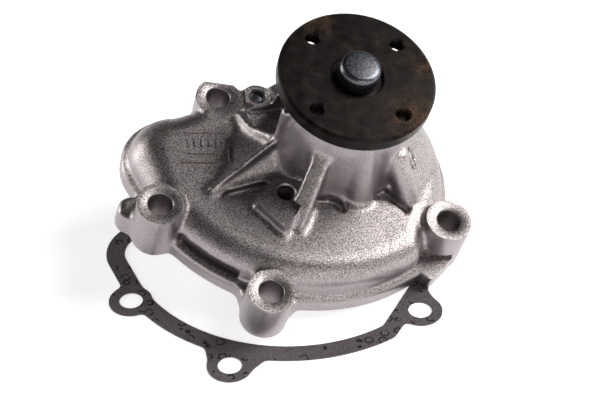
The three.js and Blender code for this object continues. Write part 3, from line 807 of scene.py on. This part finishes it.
# ------------------------------------------------------------------ face seal
SEAL_RINGS = [  # name, node, body, slot, profile
    ("cup", "seal_cup", "pump_body", "stainless_steel",
     [(9.4, 15.4), (16.9, 15.4), (16.9, 7.3), (17.2, 7), (19.8, 7), (19.8, 7.7), (18, 7.7), (17.7, 8),
      (17.7, 15.9), (17.4, 16.2), (9.4, 16.2)]),
    ("bellows", "seal_bellows", "pump_body", "black_rubber",
     [(9.3, 9.7), (12.8, 9.7), (12.8, 10.4), (11.3, 11.1), (11.1, 11.4), (11.3, 11.7), (12.5, 12.3),
      (12.6, 12.5), (12.5, 12.7), (11.3, 13.3), (11.1, 13.6), (11.3, 13.8), (12.8, 14.3), (12.8, 15.1), (9.3, 15.1)]),
    ("carbon_ring", "seal_carbon_ring", "pump_body", "carbon",
     [(9.2, 7.2), (9.9, 6.9), (11.8, 6.9), (12.8, 7.6), (12.8, 9.4), (9.2, 9.4)]),
    ("seat", "seal_seat_ring", "rotor", "white_ceramic",
     [(9.2, 3.4), (13.4, 3.4), (13.4, 6.1), (12.9, 6.6), (9.4, 6.6), (9.2, 6.4)]),
    ("seat_cup", "seal_seat_boot", "rotor", "black_rubber",
     [(8.3, 2.5), (14.2, 2.5), (14.5, 2.8), (14.5, 5.4), (14.3, 5.6), (13.9, 5.6), (13.7, 5.4), (13.7, 3.1),
      (8.3, 3.1)]),
    ("flinger", "slinger", "rotor", "black_rubber",
     [(8.2, 16.9), (10, 16.9), (11.8, 17.4), (11.8, 17.9), (8.2, 18.2)]),
]


def build_spring():
    """Round wire wound three times."""
    wire = [(14.6 + dx, 0, 10 + dz) for dx, dz in arc((0, 0, 0.6), 0, 330, 30)]
    spring = outline_ring("wound_spring", wire, "NOTHING")
    modified(spring, "SCREW", axis="Z", angle=math.tau, screw_offset=1.53 * MM, iterations=3, steps=32,
             render_steps=32, use_merge_vertices=False)
    with editing(spring):
        bpy.ops.mesh.fill_holes(sides=0)
    return outwards(spring)


class PUMP_OT_seal(bpy.types.Operator):
    """Builds the spring-loaded face seal and the slinger above it"""
    bl_idname = "pump.seal"
    bl_label = "Face Seal"

    def execute(self, context):
        for name, node, body, slot, profile in SEAL_RINGS:
            finished(turned("seal_" + name + "_turned", profile), PUMP, body, finish(slot), [node])
        steel = finish("stainless_steel")
        finished(build_spring(), PUMP, "pump_body", steel, ["seal_spring"])
        return {"FINISHED"}


# ------------------------------------------------------------------ impeller
IMPELLER_R = 26.0
VANES = 7


def build_impeller():
    edge = IMPELLER_R - 0.2
    disc = turned("disc", [(4, -8.9), (12, -8.9), (12.9, -1), (14, 0.1), (edge, 0.1), (edge, 2.1), (4, 2.1)], 72)
    vanes = []
    for i in range(VANES):
        blade = arc((19.5, -12, 16), 150, 50, 10) + arc((19.5, -12, 13.2), 50, 150, 10)
        vane = prism("vane", blade[::-1], -8.9, 1)
        vane.data.transform(Matrix.Rotation(math.tau * i / VANES, 4, "Z"))
        vanes.append(vane)
    vanes = joined("vanes", vanes)
    combined(vanes, "INTERSECT", [turned("reach", [(11, -12), (edge, -12), (edge, 2), (11, 2)], 72)])
    wheel = blended(joined("cast_impeller", [disc, vanes]), 0.6 * MM, 2)
    return cut(wheel, turned("impeller_bore", [(0, -20), (BORE_R, -20), (BORE_R, 20), (0, 20)]))


class PUMP_OT_impeller(bpy.types.Operator):
    """Builds the cast impeller with its swept vanes"""
    bl_idname = "pump.impeller"
    bl_label = "Impeller"

    def execute(self, context):
        finished(build_impeller(), PUMP, "rotor", finish("cast_iron"), ["impeller"], 40)
        return {"FINISHED"}


# ------------------------------------------------------------------ gasket
def build_gasket(settings):
    """The rim's outline cut from paper: shaped as a thick slab with blended corners, then sliced thin."""
    slab, inset = 8.0, 0.12
    parts = [prism("sheet", scroll_outline(-inset), -slab, slab)]
    for boss, root in zip(BOSSES, BOSS_ROOTS):
        x, y = boss[:2]
        parts += [post("tab", x, y, -slab, slab, BOSS_R - inset),
                  boss_web(boss, root, -slab, slab, BOSS_R - inset)]
    sheet = blended(joined("paper_gasket", parts), 0.8 * MM, 0)
    opening = prism("opening", scroll_outline(-FACE_LAND), -slab - 1, slab + 1)
    cut(opening, *[post("island", x, y, -slab - 2, slab + 2, 8.2) for x, y, top in BOSSES])
    cut(sheet, opening)
    blended(sheet, 0.7 * MM, settings.rounds)
    combined(sheet, "INTERSECT", [prism("slice", arc((0, 0, 150), 0, 350, 10), 0, settings.thickness / MM)])
    return cut(sheet, *[post("bolt", x, y, -1, 2, BOLT_HOLE) for x, y, top in BOSSES])


class PUMP_OT_gasket(bpy.types.Operator):
    """Builds the loose paper gasket"""
    bl_idname = "pump.gasket"
    bl_label = "Gasket"

    def execute(self, context):
        sheet = build_gasket(context.scene.pump_gasket)
        finished(sheet, GASKET, "pump_body", finish("gasket_paper"), ["gasket"], 30)
        return {"FINISHED"}


# ------------------------------------------------------------------ stage
AIM_FROM_FACE = Vector((-10.27, 7.45, 0)) * MM
SOFTBOXES = [  # name, direction from the aim point, width and height in metres, share of the key's power
    ("right", (0.78, 0.08, 0.72), (0.4, 0.6), 1.0),
    ("left", (-0.95, 0.2, 0.35), (0.3, 0.6), 0.45),
    ("front", (0.45, -0.9, 0.4), (0.5, 0.25), 0.12),
]
SOFTBOX_DISTANCE = 0.75


def studio_world():
    """Surroundings that are dim overhead and bright near the floor."""
    world = bpy.data.worlds.new("Studio")
    world.use_nodes = True
    tree = world.node_tree
    direction = add(tree, "ShaderNodeTexCoord").outputs["Generated"]
    up = add(tree, "ShaderNodeSeparateXYZ", {"Vector": direction})
    sky = ramp(tree, up.outputs["Z"], (0.0, "#ffffff"), (0.3, "#7d7b7a"), (0.7, "#3a3939"))
    background = tree.nodes["Background"]
    tree.links.new(sky, background.inputs["Color"])
    background.inputs["Strength"].default_value = 0.9
    return world


def light_paper():
    """Matt white paper, lit a little from beneath."""
    material, tree, shader = new_material("Matt white paper", Roughness=0.9)
    shader.inputs["Base Color"].default_value = linear("#fafafa")
    shader.inputs["Emission Color"].default_value = linear("#ffffff")
    shader.inputs["Emission Strength"].default_value = 0.6
    return material


class PUMP_OT_stage(bpy.types.Operator):
    """Sets the pale floor, the soft lights and the camera"""
    bl_idname = "pump.stage"
    bl_label = "Stage"

    def execute(self, context):
        settings = context.scene.pump_stage
        lone()
        bpy.ops.mesh.primitive_plane_add(size=6)
        floor = bpy.context.object
        floor.name = "floor"
        floor.data.materials.append(light_paper())
        aim = Vector((FACE_CENTRE.x, FACE_CENTRE.y, 0)) + AIM_FROM_FACE
        back = Vector((0, -math.cos(settings.pitch), math.sin(settings.pitch)))
        bpy.ops.object.camera_add(location=aim + back * settings.distance)
        camera = bpy.context.object
        camera.rotation_euler = (-back).to_track_quat("-Z", "Y").to_euler()
        camera.data.lens = settings.lens
        camera.data.sensor_width = 36
        context.scene.camera = camera
        for name, direction, (width, height), share in SOFTBOXES:
            place = aim + Vector(direction).normalized() * SOFTBOX_DISTANCE
            bpy.ops.object.light_add(type="AREA", location=place)
            light = bpy.context.object
            light.name = name
            light.data.shape = "RECTANGLE"
            light.data.size, light.data.size_y = width, height
            light.data.energy = settings.key * share
            light.rotation_euler = (aim - place).to_track_quat("-Z", "Y").to_euler()
        context.scene.world = studio_world()
        context.scene.view_settings.view_transform = "Standard"
        return {"FINISHED"}


# ------------------------------------------------------------------ panel and registration
class VIEW3D_PT_water_pump(bpy.types.Panel):
    bl_label = "Water Pump"
    bl_space_type = "VIEW_3D"
    bl_region_type = "UI"
    bl_category = "Water Pump"

    def draw(self, context):
        for operator, settings in STEPS:
            self.layout.operator(operator)
            if settings:
                group = getattr(context.scene, settings)
                for name in group.__annotations__:
                    self.layout.prop(group, name)


STEPS = [
    ("pump.stage", "pump_stage"),
    ("pump.housing", "pump_casting"),
    ("pump.hub", "pump_hub"),
    ("pump.bearing", None),
    ("pump.seal", None),
    ("pump.impeller", None),
    ("pump.gasket", "pump_gasket"),
]
GROUPS = {"pump_stage": StageSettings, "pump_casting": CastingSettings, "pump_hub": HubSettings,
          "pump_gasket": GasketSettings}
CLASSES = (*GROUPS.values(), PUMP_OT_stage, PUMP_OT_housing, PUMP_OT_hub, PUMP_OT_bearing, PUMP_OT_seal,
           PUMP_OT_impeller, PUMP_OT_gasket, VIEW3D_PT_water_pump)


def register():
    for cls in CLASSES:
        bpy.utils.register_class(cls)
    for name, group in GROUPS.items():
        setattr(bpy.types.Scene, name, PointerProperty(type=group))


def unregister():
    for name in GROUPS:
        delattr(bpy.types.Scene, name)
    for cls in reversed(CLASSES):
        bpy.utils.unregister_class(cls)


def main():
    register()
    for operator, settings in STEPS:
        group, name = operator.split(".")
        getattr(getattr(bpy.ops, group), name)()


if __name__ == "__main__":
    main()
